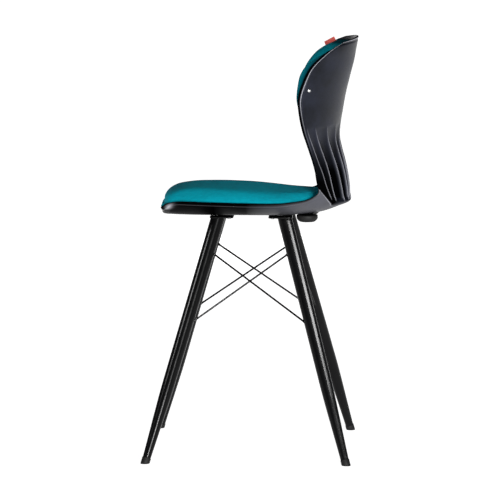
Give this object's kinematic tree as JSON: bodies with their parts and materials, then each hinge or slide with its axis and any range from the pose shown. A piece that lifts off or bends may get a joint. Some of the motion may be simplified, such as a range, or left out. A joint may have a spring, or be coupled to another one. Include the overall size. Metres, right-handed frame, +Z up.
{
  "type": "counter stool",
  "caption": "Counter stool with a one-piece moulded black shell, pleated at the waist, teal fabric seat and back pads, and splayed tapered tube legs tied by crossed rods.",
  "frame": {"origin": "on the floor under the middle of the whole part's length and width", "axes": "+Z up, -Y to the front where the sitter's knees are, +X to the sitter's left"},
  "size_m": [0.472, 0.5101, 1.0039],
  "materials": {
    "shell_plastic": "satin",
    "teal_fabric": "woven",
    "foam": "open cell",
    "plywood": "raw",
    "black_metal": "satin powder coat",
    "black_rubber": "matte",
    "zinc_steel": "zinc plated",
    "red_fabric": "woven"
  },
  "bodies": {
    "root": {"seat_shell": "shell_plastic", "seat_cover": "teal_fabric", "seat_foam": "foam", "seat_board": "plywood", "back_cover": "teal_fabric", "back_foam": "foam", "back_board": "plywood", "label_tab": "red_fabric", "leg_front_left": "black_metal", "leg_front_right": "black_metal", "leg_rear_left": "black_metal", "leg_rear_right": "black_metal", "leg_plate_front_left": "black_metal", "leg_plate_front_right": "black_metal", "leg_plate_rear_left": "black_metal", "leg_plate_rear_right": "black_metal", "foot_cap_front_left": "black_rubber", "foot_cap_front_right": "black_rubber", "foot_cap_rear_left": "black_rubber", "foot_cap_rear_right": "black_rubber", "brace_left_a": "black_metal", "brace_left_b": "black_metal", "brace_right_a": "black_metal", "brace_right_b": "black_metal", "brace_front_a": "black_metal", "brace_front_b": "black_metal", "brace_rear_a": "black_metal", "brace_rear_b": "black_metal", "buffer_left": "black_rubber", "buffer_right": "black_rubber", "plate_screw_1": "zinc_steel", "plate_screw_2": "zinc_steel", "plate_screw_3": "zinc_steel", "plate_screw_4": "zinc_steel", "plate_screw_5": "zinc_steel", "plate_screw_6": "zinc_steel", "plate_screw_7": "zinc_steel", "plate_screw_8": "zinc_steel", "board_screw_1": "zinc_steel", "board_screw_2": "zinc_steel", "board_screw_3": "zinc_steel", "board_screw_4": "zinc_steel", "back_rivet_left": "zinc_steel", "back_rivet_right": "zinc_steel"}
  },
  "joints": []
}
